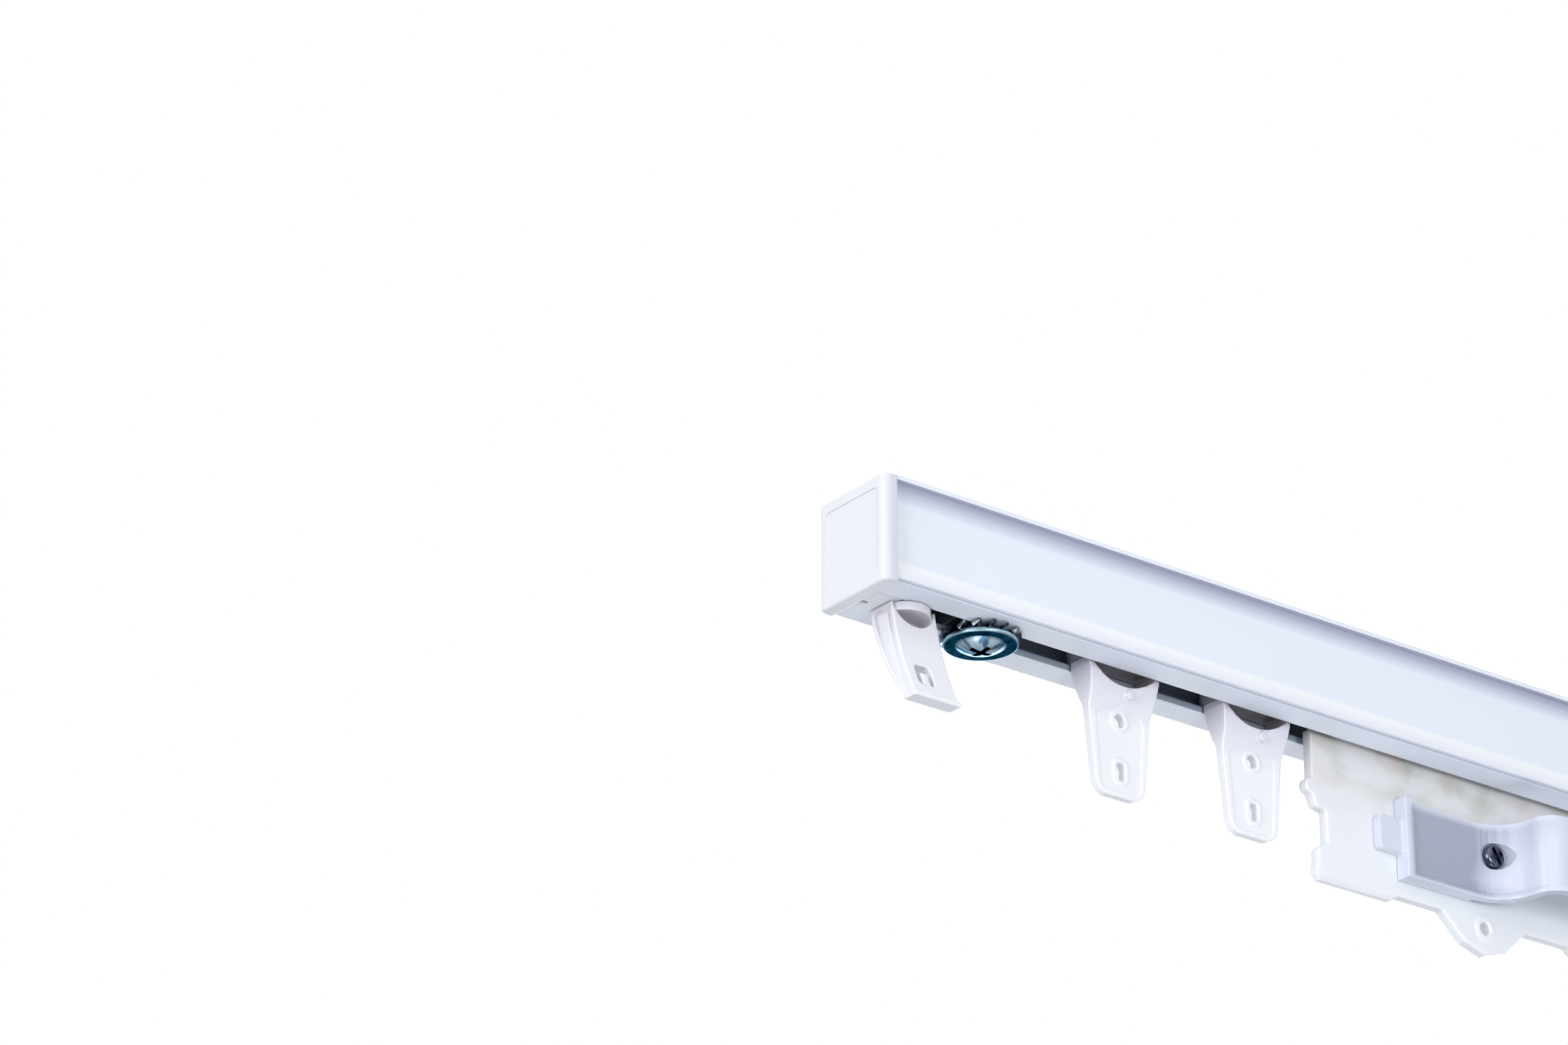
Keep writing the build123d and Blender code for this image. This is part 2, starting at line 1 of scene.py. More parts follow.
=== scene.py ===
import bmesh
import bpy
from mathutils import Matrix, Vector


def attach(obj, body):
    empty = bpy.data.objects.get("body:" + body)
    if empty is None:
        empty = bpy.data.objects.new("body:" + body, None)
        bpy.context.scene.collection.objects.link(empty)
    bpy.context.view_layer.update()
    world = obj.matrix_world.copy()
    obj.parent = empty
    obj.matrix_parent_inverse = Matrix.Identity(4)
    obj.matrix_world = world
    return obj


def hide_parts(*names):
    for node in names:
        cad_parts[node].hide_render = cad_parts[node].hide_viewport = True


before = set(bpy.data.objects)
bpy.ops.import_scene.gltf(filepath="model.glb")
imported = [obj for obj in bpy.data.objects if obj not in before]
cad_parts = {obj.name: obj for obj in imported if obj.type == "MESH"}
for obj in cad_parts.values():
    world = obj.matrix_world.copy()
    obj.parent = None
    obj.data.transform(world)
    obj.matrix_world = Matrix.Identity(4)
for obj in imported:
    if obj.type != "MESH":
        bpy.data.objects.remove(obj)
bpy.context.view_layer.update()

# Lengths are in metres unless they are called mm. X runs along the rail and Z is 0 at its top.
MM = 0.001

# Places along the rail
CARRIER_X = 0.005
STOP_X = (-0.114, 0.114)

# Heights and widths on the rail
CHANNEL_HALF_WIDTH = 0.00722
CHANNEL_ROOF = -0.0015
LIP_FLOOR = -0.01985
FLANGE_EDGE = -0.00076
FLANGE_SHADE = (-0.0046, -0.0016)
FOOT = (-0.0194, -0.0158)
FOOT_SHADE = (-0.0194, -0.0168)
DRIP_STEP = (-0.0198, -0.0195)

# The cap's upright corners, from the rail's middle plane outwards
CAP_CORNER_START = (0.0084, 0.0094)

# Heights on what hangs from the rail
# Heights over which painted shade from the rail grows on the hook and gliders
HUNG_RAIL_SHADE_HEIGHTS = (-0.0300, -0.0195)
HUNG_SCOOP = (-0.0262, -0.0245)
CARRIER_VEIL = (-0.033, -0.021)
# Heights over which painted shade from the rail grows on the carrier plate
CARRIER_RAIL_SHADE_HEIGHTS = (-0.040, -0.021)

# The stop screw's head, from its axis outwards
CROSS_HALF_LENGTH = 0.00225
CROSS_HALF_WIDTH = 0.00053
DOME_EDGE = (0.0040, 0.0047)
RIM_START = (0.0063, 0.0066)

# The arm's panel of painted shade and drawn bend, in X from the carrier's middle
PANEL_LEFT = (CARRIER_X - 0.0210, CARRIER_X - 0.0200)
PANEL_RIGHT = (CARRIER_X - 0.0042, CARRIER_X + 0.0036)
PANEL_BOTTOM = (-0.0436, -0.0431)
PANEL_TOP = (-0.0302, -0.0288)
PANEL_RUN_OUT = (-0.0436, -0.0402)
PANEL_RUN_OUT_LENGTH = 0.0065
PANEL_LEAN = 0.6
PANEL_LEAN_DROP = 0.0361
BEND = (CARRIER_X - 0.002, CARRIER_X + 0.012)

# Pairs of colours that a noise mixes, unless a name says otherwise
COAT = ((0.785, 0.83, 0.925), (0.77, 0.815, 0.915))
# Painted shade: the colour of the band under the top flange, standing in for the flange's shadow
PAINTED_SHADE_BELOW_FLANGE = (0.45, 0.47, 0.59)
# Painted highlight on the foot, turning to painted shade towards its bottom edge
FOOT_HIGHLIGHT_AND_SHADE = ((0.87, 0.905, 0.955), (0.76, 0.785, 0.875))
# Painted shade: a dark line along the drip step under the foot
DRIP_STEP_SHADE = (0.42, 0.45, 0.54)
# Painted shade inside the channel and slot
CHANNEL_PAINTED_SHADE = ((0.34, 0.4, 0.49), (0.26, 0.31, 0.39))
CAP_WHITE = ((0.765, 0.782, 0.828), (0.75, 0.768, 0.815))
# Painted shade round the cap's upright corners
CAP_CORNER_SHADE = (0.63, 0.66, 0.73)
HOOK_WHITE = ((0.83, 0.845, 0.89), (0.8, 0.815, 0.87))
# Painted shade on the hook under the rail
HOOK_SHADE_UNDER_RAIL = (0.66, 0.645, 0.69)
# Painted shade in the hook's scoop
HOOK_SCOOP_SHADE = (0.6, 0.59, 0.65)
GLIDER_WHITE = ((0.87, 0.885, 0.935), (0.84, 0.855, 0.91))
# Painted shade on the gliders under the rail
GLIDER_SHADE_UNDER_RAIL = (0.62, 0.61, 0.71)
# Painted shade in the gliders' scoop
GLIDER_SCOOP_SHADE = (0.25, 0.22, 0.245)
CARRIER_MILKY = ((0.83, 0.86, 0.91), (0.8, 0.83, 0.87))
# Painted shade on the carrier plate under the rail
CARRIER_SHADE_UNDER_RAIL = (0.74, 0.74, 0.76)
# Greenish and brownish blotches towards the top of the carrier plate
CARRIER_BLOTCH = ((0.54, 0.58, 0.53), (0.67, 0.62, 0.6))
ARM_CLEAR = ((0.66, 0.69, 0.79), (0.62, 0.655, 0.76))
# Painted shade over the arm's flat panel
ARM_PANEL_SHADE = ((0.345, 0.37, 0.475), (0.36, 0.385, 0.49))
ARM_LINES = (0.56, 0.6, 0.74)
ACETAL = ((0.7, 0.71, 0.73), (0.658, 0.6674, 0.6862))
# Blue plating with painted reflection on the flange
SCREW_RING_PLATING_AND_REFLECTION = ((0.008, 0.027, 0.05), (0.038, 0.1, 0.16))
# Blue plating with painted reflection on the dome
SCREW_DOME_PLATING_AND_REFLECTION = ((0.09, 0.2, 0.31), (0.6, 0.77, 0.88))
# Painted highlight round the head's rim
SCREW_RIM_HIGHLIGHT = (0.36, 0.52, 0.62)
# Painted shade in the cross recess
SCREW_CROSS_SHADE = (0.004, 0.006, 0.01)
SCREW_GLANCE = (0.36, 0.5, 0.62)
WASHER_DARK = ((0.012, 0.02, 0.035), (0.06, 0.09, 0.12))
# Painted glints on the washer's teeth
WASHER_GLINT = (0.72, 0.8, 0.84)
ZINC_GREY = ((0.5, 0.52, 0.56), (0.4, 0.42, 0.46))
DARK_PLATING = ((0.16, 0.18, 0.24), (0.03, 0.035, 0.06))

PLASTIC_IOR = 1.48
COAT_IOR = 1.5
FLOW_STRETCH = (1.0, 1.0, 0.35)
FINE_BUMP = 0.00002
COARSE_BUMP = 0.00003


# Node helpers
def new_tree(name):
    material = bpy.data.materials.new(name)
    material.use_nodes = True
    tree = material.node_tree
    tree.nodes.clear()
    output = tree.nodes.new("ShaderNodeOutputMaterial")
    shader = tree.nodes.new("ShaderNodeBsdfPrincipled")
    tree.links.new(shader.outputs["BSDF"], output.inputs["Surface"])
    coords = tree.nodes.new("ShaderNodeTexCoord")
    return material, tree, shader, coords


def axes(tree, coords):
    split = tree.nodes.new("ShaderNodeSeparateXYZ")
    tree.links.new(coords.outputs["Object"], split.inputs["Vector"])
    return split.outputs["X"], split.outputs["Y"], split.outputs["Z"]


def noise(tree, coords, scale, detail=3.0, stretch=(1.0, 1.0, 1.0)):
    mapping = tree.nodes.new("ShaderNodeMapping")
    mapping.inputs["Scale"].default_value = stretch
    tree.links.new(coords.outputs["Object"], mapping.inputs["Vector"])
    texture = tree.nodes.new("ShaderNodeTexNoise")
    texture.inputs["Scale"].default_value = scale
    texture.inputs["Detail"].default_value = detail
    tree.links.new(mapping.outputs["Vector"], texture.inputs["Vector"])
    return texture.outputs["Fac"]


def spread(tree, value, low, high, from_low=0.3, from_high=0.7):
    remap = tree.nodes.new("ShaderNodeMapRange")
    remap.inputs["From Min"].default_value = from_low
    remap.inputs["From Max"].default_value = from_high
    remap.inputs["To Min"].default_value = low
    remap.inputs["To Max"].default_value = high
    tree.links.new(value, remap.inputs["Value"])
    return remap.outputs["Result"]


def rise(tree, value, start, end):
    """0 up to start, and 1 from end on."""
    return spread(tree, value, 0.0, 1.0, start, end)


def fall(tree, value, start, end):
    """1 up to start, and 0 from end on."""
    return spread(tree, value, 1.0, 0.0, start, end)


def math_node(tree, kind, first, second=None):
    node = tree.nodes.new("ShaderNodeMath")
    node.operation = kind
    for socket, value in zip(node.inputs, (first, second)):
        if isinstance(value, float):
            socket.default_value = value
        elif value is not None:
            tree.links.new(value, socket)
    return node.outputs[0]


def product(tree, first, *others):
    for other in others:
        first = math_node(tree, "MULTIPLY", first, other)
    return first


def band(tree, value, start, end, soft):
    """1 where value lies between start and end, easing off over soft at both ends."""
    return product(tree, rise(tree, value, start - soft, start), fall(tree, value, end, end + soft))


def mix_colour(tree, factor, first, second):
    mix = tree.nodes.new("ShaderNodeMix")
    mix.data_type = "RGBA"
    tree.links.new(factor, mix.inputs[0])
    for socket, value in ((mix.inputs[6], first), (mix.inputs[7], second)):
        if isinstance(value, tuple):
            socket.default_value = (*value, 1.0)
        else:
            tree.links.new(value, socket)
    return mix.outputs[2]


def mottled(tree, pattern, pair, low=0.3, high=0.7):
    """The pair's first colour where the pattern is low, and its second where it is high."""
    return mix_colour(tree, rise(tree, pattern, low, high), *pair)


def bump(tree, height, strength, distance, normal=None):
    node = tree.nodes.new("ShaderNodeBump")
    node.inputs["Strength"].default_value = strength
    node.inputs["Distance"].default_value = distance
    tree.links.new(height, node.inputs["Height"])
    if normal is not None:
        tree.links.new(normal, node.inputs["Normal"])
    return node.outputs["Normal"]


def soft_edges(tree, radius):
    node = tree.nodes.new("ShaderNodeBevel")
    node.samples = 6
    node.inputs["Radius"].default_value = radius
    return node.outputs["Normal"]


def open_air(tree, reach, low, high):
    """1 in the open and 0 in a crease that nearby surfaces shade."""
    node = tree.nodes.new("ShaderNodeAmbientOcclusion")
    node.samples = 8
    node.inputs["Distance"].default_value = reach
    return rise(tree, node.outputs["AO"], low, high)


def surface(tree, shader, colour, roughness, normal):
    tree.links.new(colour, shader.inputs["Base Color"])
    tree.links.new(roughness, shader.inputs["Roughness"])
    tree.links.new(normal, shader.inputs["Normal"])


def scatter(shader, weight, scale, radius=None):
    shader.inputs["Subsurface Weight"].default_value = weight
    shader.inputs["Subsurface Scale"].default_value = scale
    if radius is not None:
        shader.inputs["Subsurface Radius"].default_value = radius


# Materials
def rail_paint():
    """White powder coat outside, and a darker grey inside the channel and slot, which is painted
    shade.
    """
    material, tree, shader, coords = new_tree("rail_powder_coat")
    _, y, z = axes(tree, coords)
    inside = product(
        tree,
        math_node(tree, "LESS_THAN", math_node(tree, "ABSOLUTE", y), CHANNEL_HALF_WIDTH),
        math_node(tree, "GREATER_THAN", z, LIP_FLOOR),
        math_node(tree, "LESS_THAN", z, CHANNEL_ROOF),
    )
    coat = mottled(tree, noise(tree, coords, 14.0, 4.0, (0.25, 1.0, 1.0)), COAT)
    # Painted shade in a band just under the top flange
    below_flange = math_node(tree, "LESS_THAN", z, FLANGE_EDGE)
    shade = product(tree, rise(tree, z, *FLANGE_SHADE), below_flange)
    coat = mix_colour(tree, shade, coat, PAINTED_SHADE_BELOW_FLANGE)
    # Painted highlight on the foot, turning to painted shade towards its bottom edge
    foot_highlight_and_shade = mix_colour(tree, fall(tree, z, *FOOT_SHADE), *FOOT_HIGHLIGHT_AND_SHADE)
    coat = mix_colour(tree, band(tree, z, *FOOT, 0.0004), coat, foot_highlight_and_shade)
    # Painted shade: a dark line along the drip step under the foot
    coat = mix_colour(tree, band(tree, z, *DRIP_STEP, 0.0001), coat, DRIP_STEP_SHADE)
    # Painted shade inside the channel and slot
    channel_shade = mottled(tree, noise(tree, coords, 500.0, 3.0, (0.02, 1.0, 1.0)), CHANNEL_PAINTED_SHADE)
    peel = noise(tree, coords, 650.0, 2.0)
    surface(
        tree,
        shader,
        mix_colour(tree, inside, coat, channel_shade),
        spread(tree, peel, 0.3, 0.42),
        bump(tree, peel, 0.12, COARSE_BUMP, soft_edges(tree, 0.00022)),
    )
    shader.inputs["IOR"].default_value = COAT_IOR
    return material


def moulded_surface(tree, shader, coords, colour, gloss, edge=None):
    """Fine mould texture and uneven gloss, with rounded edges where edge gives their radius."""
    shine = noise(tree, coords, 120.0, 1.0)
    grain = noise(tree, coords, 900.0, 3.0)
    rounded = soft_edges(tree, edge) if edge else None
    surface(
        tree,
        shader,
        colour,
        spread(tree, shine, *gloss),
        bump(tree, grain, 0.25, FINE_BUMP, rounded),
    )
    shader.inputs["IOR"].default_value = PLASTIC_IOR


def roller_plastic():
    """White acetal with faint flow marks."""
    material, tree, shader, coords = new_tree("roller_acetal")
    colour = mottled(tree, noise(tree, coords, 90.0, 4.0, FLOW_STRETCH), ACETAL)
    moulded_surface(tree, shader, coords, colour, (0.33, 0.38), 0.0001)
    return material


def cap_plastic():
    """White plastic, with painted shade round the cap's upright corners."""
    material, tree, shader, coords = new_tree("cap_plastic_white")
    _, y, _ = axes(tree, coords)
    moulding = mottled(tree, noise(tree, coords, 90.0, 4.0, FLOW_STRETCH), CAP_WHITE)
    # Painted shade round the cap's upright corners
    corner = rise(tree, math_node(tree, "ABSOLUTE", y), *CAP_CORNER_START)
    colour = mix_colour(tree, corner, moulding, CAP_CORNER_SHADE)
    moulded_surface(tree, shader, coords, colour, (0.28, 0.33), 0.0002)
    return material


def hung_plastic(name, whites, shade_under_rail, scoop):
    """White plastic with painted shade towards the rail and a darker painted shade in the scoop
    below it.
    """
    material, tree, shader, coords = new_tree(name)
    _, _, z = axes(tree, coords)
    moulding = mottled(tree, noise(tree, coords, 90.0, 4.0, FLOW_STRETCH), whites)
    # Painted shade towards the rail
    shaded_under_rail = mix_colour(tree, rise(tree, z, *HUNG_RAIL_SHADE_HEIGHTS), moulding, shade_under_rail)
    # Painted shade in the scoop and in creases that nearby surfaces shade
    below_scoop = fall(tree, z, *HUNG_SCOOP)
    lit = math_node(tree, "MAXIMUM", open_air(tree, 0.005, 0.3, 0.75), below_scoop)
    colour = mix_colour(tree, lit, scoop, shaded_under_rail)
    moulded_surface(tree, shader, coords, colour, (0.24, 0.31))
    scatter(shader, 0.25, 0.0012, (1.0, 0.95, 0.9))
    return material


def carrier_plastic():
    """Natural plastic: milky, with painted shade towards the rail and cloudy greenish and brownish
    blotches towards the top.
    """
    material, tree, shader, coords = new_tree("carrier_plastic_milky")
    _, _, z = axes(tree, coords)
    cloud = noise(tree, coords, 150.0, 4.0, (0.7, 1.0, 1.3))
    # Greenish and brownish blotches towards the top
    veil = product(tree, rise(tree, z, *CARRIER_VEIL), rise(tree, cloud, 0.4, 0.62))
    warm = noise(tree, coords, 110.0, 2.0, (1.0, 1.0, 0.8))
    blotch = mottled(tree, warm, CARRIER_BLOTCH, 0.4, 0.6)
    milky = mottled(tree, noise(tree, coords, 60.0, 4.0, (1.0, 1.0, 0.3)), CARRIER_MILKY)
    # Painted shade towards the rail
    milky = mix_colour(tree, rise(tree, z, *CARRIER_RAIL_SHADE_HEIGHTS), milky, CARRIER_SHADE_UNDER_RAIL)
    surface(
        tree,
        shader,
        mix_colour(tree, veil, milky, blotch),
        spread(tree, cloud, 0.3, 0.46),
        bump(tree, noise(tree, coords, 700.0, 3.0), 0.25, COARSE_BUMP),
    )
    shader.inputs["IOR"].default_value = COAT_IOR
    scatter(shader, 0.35, 0.0016, (1.0, 1.0, 1.0))
    return material


def arm_plastic():
    """Bluish white plastic, with painted shade over a flat panel and drawn lines round the bend."""
    material, tree, shader, coords = new_tree("arm_plastic_blue_white")
    x, _, z = axes(tree, coords)
    # The panel's right end leans with height and runs out along its bottom edge
    lean = product(tree, math_node(tree, "ADD", z, PANEL_LEAN_DROP), PANEL_LEAN)
    run_out = product(tree, fall(tree, z, *PANEL_RUN_OUT), PANEL_RUN_OUT_LENGTH)
    slanted = math_node(tree, "SUBTRACT", x, math_node(tree, "ADD", lean, run_out))
    # Painted shade over the arm's flat panel, with a leaning right end
    panel_shade = product(
        tree,
        product(tree, rise(tree, x, *PANEL_LEFT), fall(tree, slanted, *PANEL_RIGHT)),
        product(tree, rise(tree, z, *PANEL_BOTTOM), fall(tree, z, *PANEL_TOP)),
    )
    cloud = noise(tree, coords, 120.0, 3.0)
    clear = mottled(tree, cloud, ARM_CLEAR)
    panel_shade_colour = mottled(tree, cloud, ARM_PANEL_SHADE)
    drawn = noise(tree, coords, 900.0, 2.0, (1.0, 1.0, 0.015))
    lines = product(tree, band(tree, x, *BEND, 0.003), spread(tree, drawn, 0.0, 0.55, 0.45, 0.62))
    surface(
        tree,
        shader,
        mix_colour(tree, lines, mix_colour(tree, panel_shade, clear, panel_shade_colour), ARM_LINES),
        spread(tree, cloud, 0.24, 0.28),
        bump(tree, noise(tree, coords, 800.0, 2.0), 0.2, FINE_BUMP),
    )
    shader.inputs["IOR"].default_value = COAT_IOR
    scatter(shader, 0.1, 0.001)
    return material


def screw_face():
    """Blue-plated head with painted reflections: a dark flange, a paler domed middle, a painted
    highlight round the rim and a black cross of painted shade.
    """
    material, tree, shader, coords = new_tree("blue_plated_head")
    x, y, _ = axes(tree, coords)
    from_each = [
        math_node(tree, "ABSOLUTE", math_node(tree, "SUBTRACT", x, stop)) for stop in STOP_X
    ]
    along = math_node(tree, "MINIMUM", *from_each)
    across = math_node(tree, "ABSOLUTE", y)
    squares = math_node(tree, "ADD", product(tree, along, along), product(tree, across, across))
    reach = math_node(tree, "SQRT", squares)
    # Painted reflection streaks: a noise over the angle and, more slowly, the distance from the
    # axis
    polar = tree.nodes.new("ShaderNodeCombineXYZ")
    tree.links.new(math_node(tree, "ARCTAN2", y, along), polar.inputs["X"])
    tree.links.new(product(tree, reach, 90.0), polar.inputs["Y"])
    rays = tree.nodes.new("ShaderNodeTexNoise")
    rays.inputs["Scale"].default_value = 2.4
    rays.inputs["Detail"].default_value = 3.0
    tree.links.new(polar.outputs["Vector"], rays.inputs["Vector"])
    # Painted reflections on the flange and dome
    ring = mottled(tree, rays.outputs["Fac"], SCREW_RING_PLATING_AND_REFLECTION, 0.35, 0.65)
    dome = mottled(tree, rays.outputs["Fac"], SCREW_DOME_PLATING_AND_REFLECTION, 0.42, 0.56)
    colour = mix_colour(tree, fall(tree, reach, *DOME_EDGE), ring, dome)
    # Painted highlight round the head's rim
    colour = mix_colour(tree, rise(tree, reach, *RIM_START), colour, SCREW_RIM_HIGHLIGHT)
    longer = math_node(tree, "MAXIMUM", along, across)
    shorter = math_node(tree, "MINIMUM", along, across)
    # Painted shade: black in the cross recess
    cross = product(
        tree,
        math_node(tree, "LESS_THAN", longer, CROSS_HALF_LENGTH),
        math_node(tree, "LESS_THAN", shorter, CROSS_HALF_WIDTH),
    )
    scratch = noise(tree, coords, 900.0, 2.0, (1.0, 0.4, 1.0))
    surface(
        tree,
        shader,
        mix_colour(tree, cross, colour, SCREW_CROSS_SHADE),
        spread(tree, scratch, 0.16, 0.34),
        bump(tree, scratch, 0.2, COARSE_BUMP, soft_edges(tree, 0.00015)),
    )
    shader.inputs["Metallic"].default_value = 1.0
    shader.inputs["Specular Tint"].default_value = (*SCREW_GLANCE, 1.0)
    return material


def washer_steel():
    """Spring steel teeth: painted glints on some, the rest dark."""
    material, tree, shader, coords = new_tree("lock_washer_steel")
    # Painted glints on some of the teeth
    glint_spots = noise(tree, coords, 330.0, 1.0)
    grain = noise(tree, coords, 1400.0, 3.0)
    dark = mottled(tree, grain, WASHER_DARK)
    surface(
        tree,
        shader,
        mottled(tree, glint_spots, (dark, WASHER_GLINT), 0.56, 0.62),
        spread(tree, grain, 0.16, 0.36),
        bump(tree, grain, 0.2, COARSE_BUMP, soft_edges(tree, 0.0001)),
    )
    shader.inputs["Metallic"].default_value = 1.0
    return material


def plated_steel(name, greys, gloss):
    """Cloudy plating, fine scratches and uneven polish."""
    material, tree, shader, coords = new_tree(name)
    scratch = noise(tree, coords, 700.0, 2.0, (0.2, 2.5, 1.0))
    surface(
        tree,
        shader,
        mottled(tree, noise(tree, coords, 420.0, 5.0), greys),
        spread(tree, scratch, *gloss),
        bump(tree, scratch, 0.2, COARSE_BUMP, soft_edges(tree, 0.0001)),
    )
    shader.inputs["Metallic"].default_value = 1.0
    return material


CAP = cap_plastic()
GLIDER = hung_plastic("glider_plastic_white", GLIDER_WHITE, GLIDER_SHADE_UNDER_RAIL, GLIDER_SCOOP_SHADE)
ROLLER = roller_plastic()
SCREW = screw_face()
WASHER = washer_steel()
ZINC = plated_steel("zinc_plating", ZINC_GREY, (0.26, 0.46))

FINISHES = {
    "rail": rail_paint(),
    "left_end_cap": CAP,
    "right_end_cap": CAP,
    "end_hook": hung_plastic("hook_plastic_white", HOOK_WHITE, HOOK_SHADE_UNDER_RAIL, HOOK_SCOOP_SHADE),
    "left_stop_screw": SCREW,
    "right_stop_screw": SCREW,
    "left_stop_washer": WASHER,
    "right_stop_washer": WASHER,
    "left_stop_nut": ZINC,
    "right_stop_nut": ZINC,
    "glider_1": GLIDER,
    "glider_2": GLIDER,
    "carrier_plate": carrier_plastic(),
    "lead_axle": ZINC,
    "tail_axle": ZINC,
    "lead_roller_near": ROLLER,
    "lead_roller_far": ROLLER,
    "tail_roller_near": ROLLER,
    "tail_roller_far": ROLLER,
    "overlap_arm": arm_plastic(),
    "arm_screw": plated_steel("dark_plated_screw", DARK_PLATING, (0.14, 0.34)),
    "arm_nut": ZINC,
}


def dress(piece, material):
    piece.data.materials.clear()
    piece.data.materials.append(material)
    for polygon in piece.data.polygons:
        polygon.material_index = 0


for node_name, finish in FINISHES.items():
    dress(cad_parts[node_name], finish)


# Moulded pieces: the CAD form with the soft edges of a moulding
MOULDINGS = (
    # node, body, slot, voxel in mm, smoothing passes, share of the faces kept
    ("glider_1", "first_glider", "glider_plastic", 0.16, 4, 0.4),
    ("glider_2", "second_glider", "glider_plastic", 0.16, 4, 0.4),
    ("end_hook", "track", "hook_plastic", 0.14, 4, 0.5),
    ("overlap_arm", "carrier", "arm_plastic", 0.18, 4, 0.4),
    ("carrier_plate", "carrier", "carrier_plastic", 0.24, 3, 0.3),
)


def moulded(node, body, slot, voxel, passes, keep):
    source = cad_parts[node]
    piece = bpy.data.objects.new(f"{node}_moulding", source.data.copy())
    bpy.context.scene.collection.objects.link(piece)
    remesh = piece.modifiers.new("remesh", "REMESH")
    remesh.mode = "VOXEL"
    remesh.voxel_size = voxel * MM
    remesh.adaptivity = 0.0
    smooth = piece.modifiers.new("smooth", "SMOOTH")
    smooth.factor = 0.5
    smooth.iterations = passes
    thin = piece.modifiers.new("thin", "DECIMATE")
    thin.ratio = keep
    depsgraph = bpy.context.evaluated_depsgraph_get()
    final = bpy.data.meshes.new_from_object(piece.evaluated_get(depsgraph))
    piece.modifiers.clear()
    piece.data = final
    for polygon in final.polygons:
        polygon.use_smooth = True
    dress(piece, FINISHES[node])
    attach(piece, body)
    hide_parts(node)


for moulding in MOULDINGS:
    moulded(*moulding)


# Floor, lamps, world and camera
FLOOR_HALF_SIZE = 6.0
FLOOR_HEIGHT = -1.75
FLOOR_COLOUR = (0.71, 0.72, 0.74, 1.0)
FLOOR_GLOW = (0.42, 0.42, 0.42, 1.0)
FLOOR_FADE = (1.2, 4.6)
ROOM_COLOUR = (0.97, 0.98, 1.0, 1.0)
ROOM_STRENGTH = 0.56
WHITE = (1.0, 1.0, 1.0, 1.0)
LAMP_TARGET = (-0.06, 0.0, -0.02)
LAMPS = (
    # name, place, power in watts, width, height
    ("top_fill", (-0.1, 0.05, 1.2), 4.3, 1.2, 0.5),
    ("left_fill", (-1.3, -0.3, 0.0), 8.8, 0.6, 0.6),
    ("low_fill", (-0.25, -1.25, -0.3), 6.7, 0.6, 0.4),
    ("back_fill", (0.8, 1.15, 0.05), 8.8, 0.8, 0.5),
    ("right_fill", (1.3, 0.1, 0.1), 4.5, 0.6, 0.6),
    ("under_fill", (-0.25, -0.1, -1.7), 4.0, 0.8, 0.5),
)
CAMERA_PLACE = (-0.6735, -0.6775, -0.4081)
CAMERA_FORWARD = (0.5491, 0.7208, 0.4229)
CAMERA_LENS_MM = 125.46
CAMERA_SENSOR_MM = 36.0
CAMERA_CLIP = (0.01, 20.0)


def aim(forward):
    return Vector(forward).to_track_quat("-Z", "Y").to_euler()


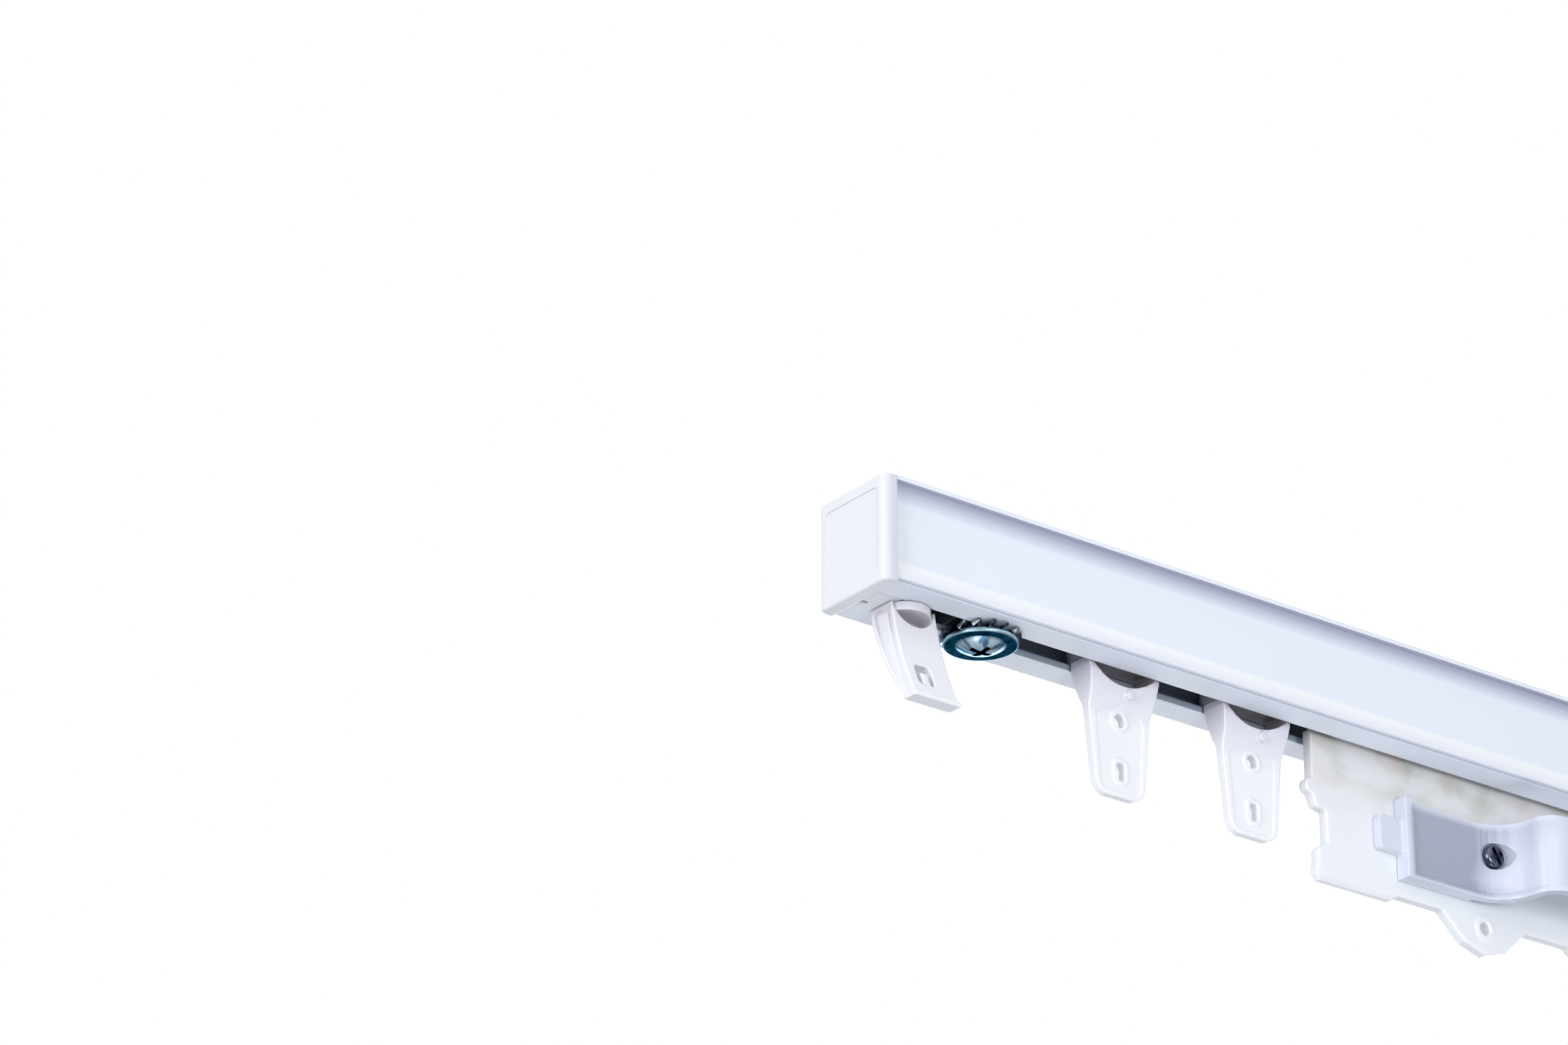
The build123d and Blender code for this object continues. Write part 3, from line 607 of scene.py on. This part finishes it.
def stage_floor():
    mesh = bpy.data.meshes.new("floor")
    floor = bpy.data.objects.new("floor", mesh)
    bpy.context.scene.collection.objects.link(floor)
    form = bmesh.new()
    bmesh.ops.create_grid(form, x_segments=1, y_segments=1, size=FLOOR_HALF_SIZE)
    form.to_mesh(mesh)
    form.free()
    floor.location = (0.0, 0.0, FLOOR_HEIGHT)
    material = bpy.data.materials.new("floor_white")
    material.use_nodes = True
    tree = material.node_tree
    tree.nodes.clear()
    output = tree.nodes.new("ShaderNodeOutputMaterial")
    diffuse = tree.nodes.new("ShaderNodeBsdfDiffuse")
    diffuse.inputs["Color"].default_value = FLOOR_COLOUR
    glow = tree.nodes.new("ShaderNodeEmission")
    glow.inputs["Color"].default_value = FLOOR_GLOW
    total = tree.nodes.new("ShaderNodeAddShader")
    path = tree.nodes.new("ShaderNodeLightPath")
    seen = path.outputs["Is Camera Ray"]
    tree.links.new(seen, glow.inputs["Strength"])
    tree.links.new(diffuse.outputs["BSDF"], total.inputs[0])
    tree.links.new(glow.outputs["Emission"], total.inputs[1])
    # Towards its edge the camera sees it fade into the white background
    white = tree.nodes.new("ShaderNodeEmission")
    white.inputs["Color"].default_value = WHITE
    coords = tree.nodes.new("ShaderNodeTexCoord")
    away = tree.nodes.new("ShaderNodeVectorMath")
    away.operation = "LENGTH"
    tree.links.new(coords.outputs["Object"], away.inputs[0])
    far = rise(tree, away.outputs["Value"], *FLOOR_FADE)
    fade = tree.nodes.new("ShaderNodeMixShader")
    tree.links.new(product(tree, far, seen), fade.inputs["Fac"])
    tree.links.new(total.outputs["Shader"], fade.inputs[1])
    tree.links.new(white.outputs["Emission"], fade.inputs[2])
    tree.links.new(fade.outputs["Shader"], output.inputs["Surface"])
    mesh.materials.append(material)


def area_lamp(name, place, power, width, height):
    lamp = bpy.data.lights.new(name, "AREA")
    lamp.shape = "RECTANGLE"
    lamp.size = width
    lamp.size_y = height
    lamp.energy = power
    holder = bpy.data.objects.new(name, lamp)
    bpy.context.scene.collection.objects.link(holder)
    holder.location = place
    holder.rotation_euler = aim(Vector(LAMP_TARGET) - Vector(place))


def world_light():
    """A soft grey room that lights the part, seen as white directly, in gloss and through glass."""
    world = bpy.data.worlds.new("studio")
    bpy.context.scene.world = world
    world.use_nodes = True
    tree = world.node_tree
    tree.nodes.clear()
    output = tree.nodes.new("ShaderNodeOutputWorld")
    room = tree.nodes.new("ShaderNodeBackground")
    room.inputs["Color"].default_value = ROOM_COLOUR
    room.inputs["Strength"].default_value = ROOM_STRENGTH
    white = tree.nodes.new("ShaderNodeBackground")
    white.inputs["Color"].default_value = WHITE
    path = tree.nodes.new("ShaderNodeLightPath").outputs
    seen = math_node(tree, "MAXIMUM", path["Is Camera Ray"], path["Is Glossy Ray"])
    seen = math_node(tree, "MAXIMUM", seen, path["Is Transmission Ray"])
    mix = tree.nodes.new("ShaderNodeMixShader")
    tree.links.new(seen, mix.inputs["Fac"])
    tree.links.new(room.outputs["Background"], mix.inputs[1])
    tree.links.new(white.outputs["Background"], mix.inputs[2])
    tree.links.new(mix.outputs["Shader"], output.inputs["Surface"])


stage_floor()
world_light()
for lamp_row in LAMPS:
    area_lamp(*lamp_row)

camera_data = bpy.data.cameras.new("camera")
camera = bpy.data.objects.new("camera", camera_data)
bpy.context.scene.collection.objects.link(camera)
camera.location = CAMERA_PLACE
camera.rotation_euler = aim(CAMERA_FORWARD)
camera_data.sensor_width = CAMERA_SENSOR_MM
camera_data.sensor_fit = "HORIZONTAL"
camera_data.lens = CAMERA_LENS_MM
camera_data.clip_start, camera_data.clip_end = CAMERA_CLIP
bpy.context.scene.camera = camera

bpy.context.scene.view_settings.view_transform = "Standard"
